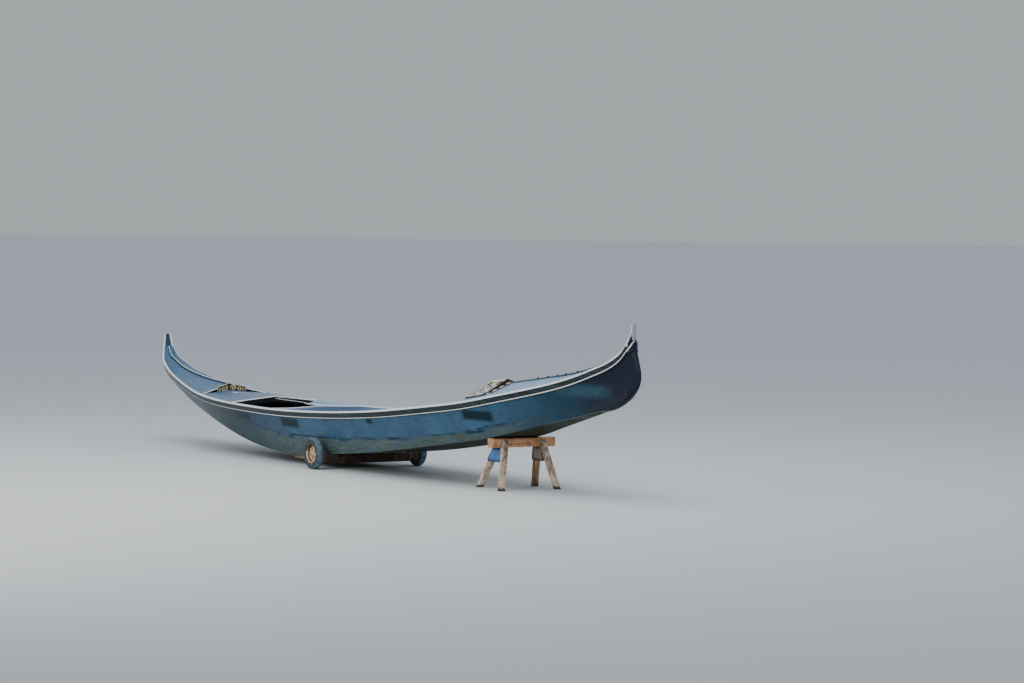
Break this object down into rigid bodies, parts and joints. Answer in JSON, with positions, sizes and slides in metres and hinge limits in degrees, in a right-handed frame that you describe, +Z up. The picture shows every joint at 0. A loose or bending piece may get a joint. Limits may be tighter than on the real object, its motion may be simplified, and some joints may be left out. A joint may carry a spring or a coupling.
{
  "type": "gondola boat on a dolly and trestle",
  "caption": "Slender black rowing boat with upswept ends, pitched decks and a long open cockpit, laid up on a wheeled dolly and a wooden trestle.",
  "frame": {"origin": "on the ground under the middle of the whole length, midway between the wheels", "axes": "+X towards the bow, +Y to port, +Z up"},
  "size_m": [10.844, 1.426, 1.793],
  "materials": {
    "hull_paint": "gloss black boat paint over planking, worn and muddied low down",
    "deck_paint": "satin blue-black deck paint over narrow planks",
    "white_line": "white painted moulding, scuffed",
    "gilding": "carved wood, gilded and painted black in the ground",
    "inside_paint": "dull black paint on bare framing",
    "head_grey": "light grey painted cap",
    "trestle_wood": "weathered softwood, split and stained",
    "dolly_wood": "reddish brown stained timber",
    "blue_paint": "faded blue paint on board",
    "plywood": "grey weathered plywood",
    "steel": "dull mild steel with rust",
    "wheel_paint": "cream enamel, chipped and rusted",
    "tyre": "old ribbed rubber, dusty"
  },
  "bodies": {
    "hull": {"port_stern_side_planking": "hull_paint", "port_aft_side_planking": "hull_paint", "port_fore_side_planking": "hull_paint", "port_bow_side_planking": "hull_paint", "port_aft_wale": "hull_paint", "port_fore_wale": "hull_paint", "port_gunwale": "white_line", "port_fore_deck": "deck_paint", "port_aft_deck": "deck_paint", "port_side_deck": "deck_paint", "port_coaming": "white_line", "port_ribs": "inside_paint", "port_floorboards": "inside_paint", "starboard_stern_side_planking": "hull_paint", "starboard_aft_side_planking": "hull_paint", "starboard_fore_side_planking": "hull_paint", "starboard_bow_side_planking": "hull_paint", "starboard_aft_wale": "hull_paint", "starboard_fore_wale": "hull_paint", "starboard_gunwale": "white_line", "starboard_fore_deck": "deck_paint", "starboard_aft_deck": "deck_paint", "starboard_side_deck": "deck_paint", "starboard_coaming": "white_line", "starboard_ribs": "inside_paint", "starboard_floorboards": "inside_paint", "stern_bottom_planking": "hull_paint", "aft_bottom_planking": "hull_paint", "fore_bottom_planking": "hull_paint", "bow_bottom_planking": "hull_paint", "bow_stem": "hull_paint", "stern_post": "hull_paint", "stern_head_cap": "head_grey", "fore_deck_ridge": "white_line", "aft_deck_ridge": "white_line", "fore_deck_board": "gilding", "aft_deck_carving": "gilding", "fore_well_deck": "deck_paint", "fore_well_beam": "inside_paint", "aft_bulkhead": "inside_paint", "floor_timbers": "inside_paint", "fore_thwart": "inside_paint", "middle_thwart": "inside_paint", "dolly_bolster": "dolly_wood", "dolly_port_rail": "dolly_wood", "dolly_starboard_rail": "dolly_wood", "dolly_port_bracket": "steel", "dolly_starboard_bracket": "steel", "trestle_beam": "trestle_wood", "trestle_port_fore_leg": "trestle_wood", "trestle_port_aft_leg": "trestle_wood", "trestle_starboard_fore_leg": "trestle_wood", "trestle_starboard_aft_leg": "trestle_wood", "trestle_port_gusset": "blue_paint", "trestle_starboard_gusset": "plywood"},
    "port_wheel": {"port_rim": "wheel_paint", "port_tyre": "tyre"},
    "starboard_wheel": {"starboard_rim": "wheel_paint", "starboard_tyre": "tyre"}
  },
  "joints": [
    {"name": "port_wheel_spin", "type": "hinge", "parent": "hull", "child": "port_wheel", "pos_m": [0, 0.662, 0.1725], "axis": [0, 1, 0], "continuous": true},
    {"name": "starboard_wheel_spin", "type": "hinge", "parent": "hull", "child": "starboard_wheel", "pos_m": [0, -0.662, 0.1725], "axis": [0, 1, 0], "continuous": true}
  ]
}
